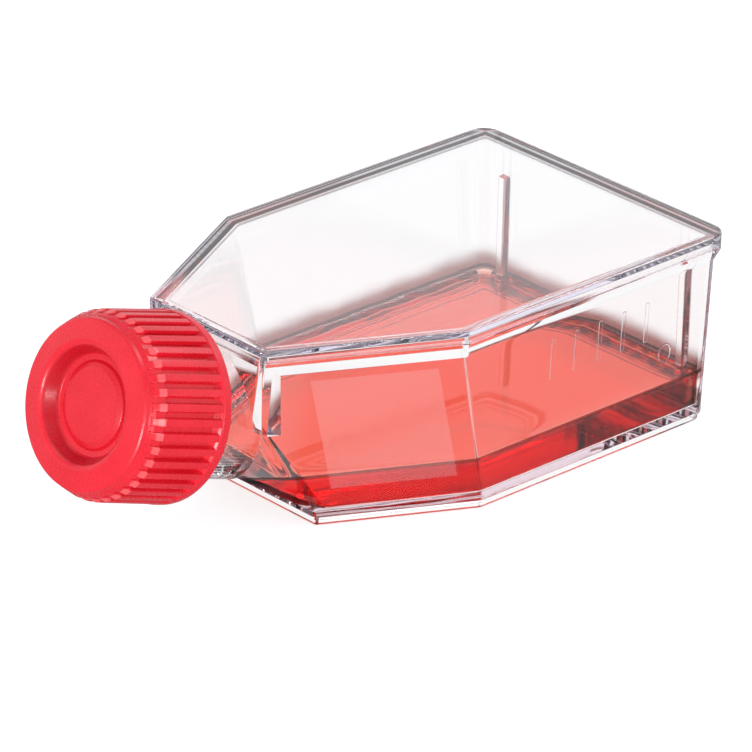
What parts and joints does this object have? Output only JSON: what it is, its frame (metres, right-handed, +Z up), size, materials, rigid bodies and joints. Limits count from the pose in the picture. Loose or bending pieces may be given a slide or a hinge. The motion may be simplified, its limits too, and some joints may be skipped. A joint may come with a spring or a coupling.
{
  "type": "cell culture flask",
  "caption": "Clear flat-sided cell culture flask with a canted threaded neck, ribbed red screw cap and a shallow layer of pink medium.",
  "frame": {"origin": "on the rest plane, under the middle of the lid's outline", "axes": "+X from the neck towards the back wall, +Z up from the rest plane to the lid, +Y completes the frame across the width"},
  "size_m": [0.0997, 0.0492, 0.0349],
  "materials": {
    "clear_polystyrene": "polished clear moulded plastic",
    "red_cap": "satin moulded plastic",
    "white_liner": "matt foam",
    "pink_medium": "clear liquid"
  },
  "bodies": {
    "flask": {"flask_body": "clear_polystyrene", "flask_lid": "clear_polystyrene", "culture_medium": "pink_medium"},
    "liner": {"cap_liner": "white_liner"},
    "cap": {"screw_cap": "red_cap"}
  },
  "joints": [
    {"name": "cap_lift", "type": "slide", "parent": "flask", "child": "liner", "axis": [-0.9483, 0, 0.3173], "range_m": [0, 0.018]},
    {"name": "cap_turn", "type": "hinge", "parent": "liner", "child": "cap", "pos_m": [-0.0376, 0, 0.0166], "axis": [-0.9483, 0, 0.3173], "range_deg": [0, 1620]}
  ],
  "couplings": [
    {"joint": "cap_lift", "follows": "cap_turn", "m_per_rad": 0.00063662}
  ]
}
